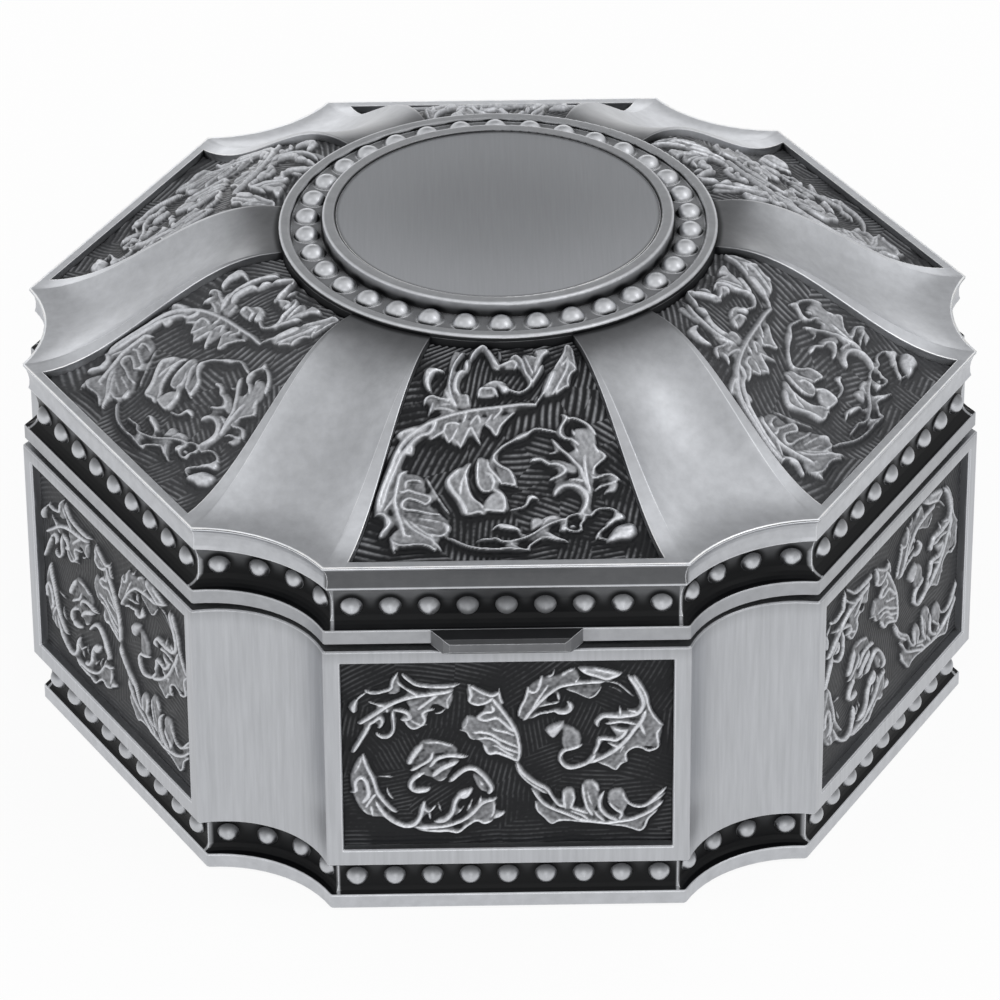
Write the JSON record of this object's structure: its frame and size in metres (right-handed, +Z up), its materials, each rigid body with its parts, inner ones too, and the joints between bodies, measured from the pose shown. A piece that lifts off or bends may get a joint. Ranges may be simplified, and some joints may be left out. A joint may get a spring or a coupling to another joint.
{
  "type": "keepsake box",
  "caption": "Hexagonal hinged keepsake box with concave corner flutes, scroll relief panels, beaded mouldings and a round medallion on the lid.",
  "frame": {"origin": "centre of the base, on the surface the box stands on", "axes": "+Z up, front with the thumb lift faces -Y, hinge at +Y, +X to the right seen from the front"},
  "size_m": [0.0932, 0.0916, 0.0516],
  "materials": {
    "cast_pewter": "antiqued pewter-coloured zinc alloy, satin",
    "relief_pewter": "oxidised dark ground with rubbed bright high spots",
    "brushed_pewter": "fine brushed satin",
    "hinge_steel": "satin",
    "velvet": "short velvet pile",
    "felt": "pressed felt"
  },
  "bodies": {
    "box": {"body_frame": "brushed_pewter", "plinth": "cast_pewter", "bottom_plate": "cast_pewter", "base_felt": "felt", "floor_pad": "velvet", "wall_lining": "velvet", "hinge_body_leaf": "hinge_steel", "hinge_pin": "hinge_steel", "side_relief_1": "relief_pewter", "side_relief_2": "relief_pewter", "side_relief_3": "relief_pewter", "side_relief_4": "relief_pewter", "side_relief_5": "relief_pewter", "side_relief_6": "relief_pewter"},
    "lid": {"lid_shell": "cast_pewter", "lid_gallery": "cast_pewter", "thumb_lift": "cast_pewter", "medallion_ring": "cast_pewter", "medallion_plate": "brushed_pewter", "lid_lining": "velvet", "hinge_lid_leaf": "hinge_steel", "lid_relief_1": "relief_pewter", "lid_relief_2": "relief_pewter", "lid_relief_3": "relief_pewter", "lid_relief_4": "relief_pewter", "lid_relief_5": "relief_pewter", "lid_relief_6": "relief_pewter"}
  },
  "joints": [
    {"name": "lid_hinge", "type": "hinge", "parent": "box", "child": "lid", "pos_m": [0, 0.0447, 0.03055], "axis": [-1, 0, 0], "range_deg": [0, 100]}
  ]
}
